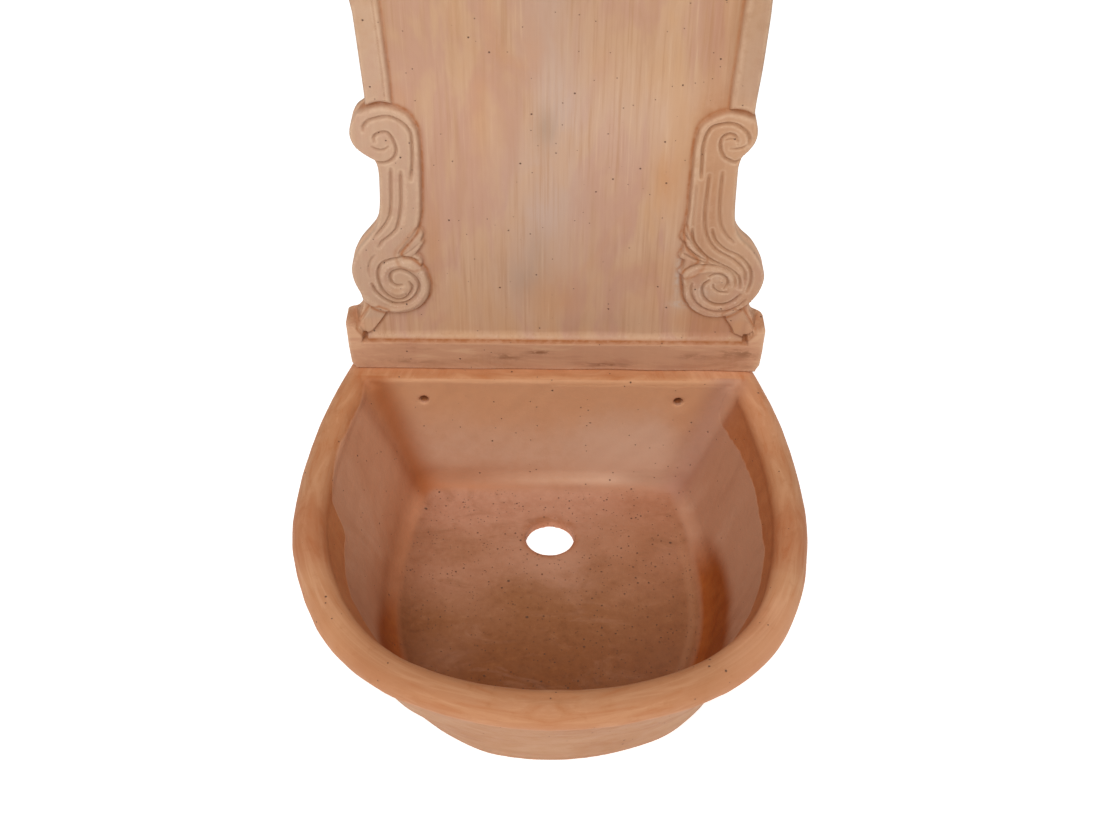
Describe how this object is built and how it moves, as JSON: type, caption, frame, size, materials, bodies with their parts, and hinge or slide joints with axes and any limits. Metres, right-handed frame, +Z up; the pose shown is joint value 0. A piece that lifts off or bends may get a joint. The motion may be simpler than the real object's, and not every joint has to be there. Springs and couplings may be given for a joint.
{
  "type": "garden wall fountain",
  "caption": "Terracotta wall fountain: a D-shaped basin with a rolled rim, a carved back panel with scroll consoles, and a brass bib tap.",
  "frame": {"origin": "on the wall plane, midway between the basin's two fixing holes", "axes": "+X to the right as seen from the front, +Y into the wall, +Z up"},
  "size_m": [0.494, 0.4855, 0.828],
  "materials": {
    "terracotta": "unglazed fired clay, warm orange-brown, with pale slip smears",
    "terracotta_panel": "unglazed fired clay, pale peach-tan, brushed",
    "tap_brass": "plain cast brass, slightly dulled",
    "seal_rubber": "black rubber",
    "fibre": "red-brown fibre sealing ring"
  },
  "bodies": {
    "fountain": {"basin": "terracotta", "back_panel": "terracotta_panel", "tap_seal": "seal_rubber", "tap_rosette": "tap_brass", "tap_back_nut": "tap_brass", "tap_body": "tap_brass", "bonnet_washer": "fibre", "tap_bonnet": "tap_brass", "gland_packing": "fibre", "gland_nut": "tap_brass"},
    "valve": {"valve_jumper": "tap_brass", "valve_washer": "seal_rubber", "valve_nut": "tap_brass"},
    "handle": {"tap_spindle": "tap_brass", "tap_handle": "tap_brass", "handle_screw": "tap_brass"}
  },
  "joints": [
    {"name": "valve_lift", "type": "slide", "parent": "fountain", "child": "valve", "axis": [0, 0, 1], "range_m": [0, 0.00301]},
    {"name": "handle_turn", "type": "hinge", "parent": "valve", "child": "handle", "pos_m": [0, -0.066, 0.62], "axis": [0, 0, 1], "range_deg": [0, 450]}
  ],
  "couplings": [
    {"joint": "valve_lift", "follows": "handle_turn", "m_per_rad": 0.00038197}
  ]
}
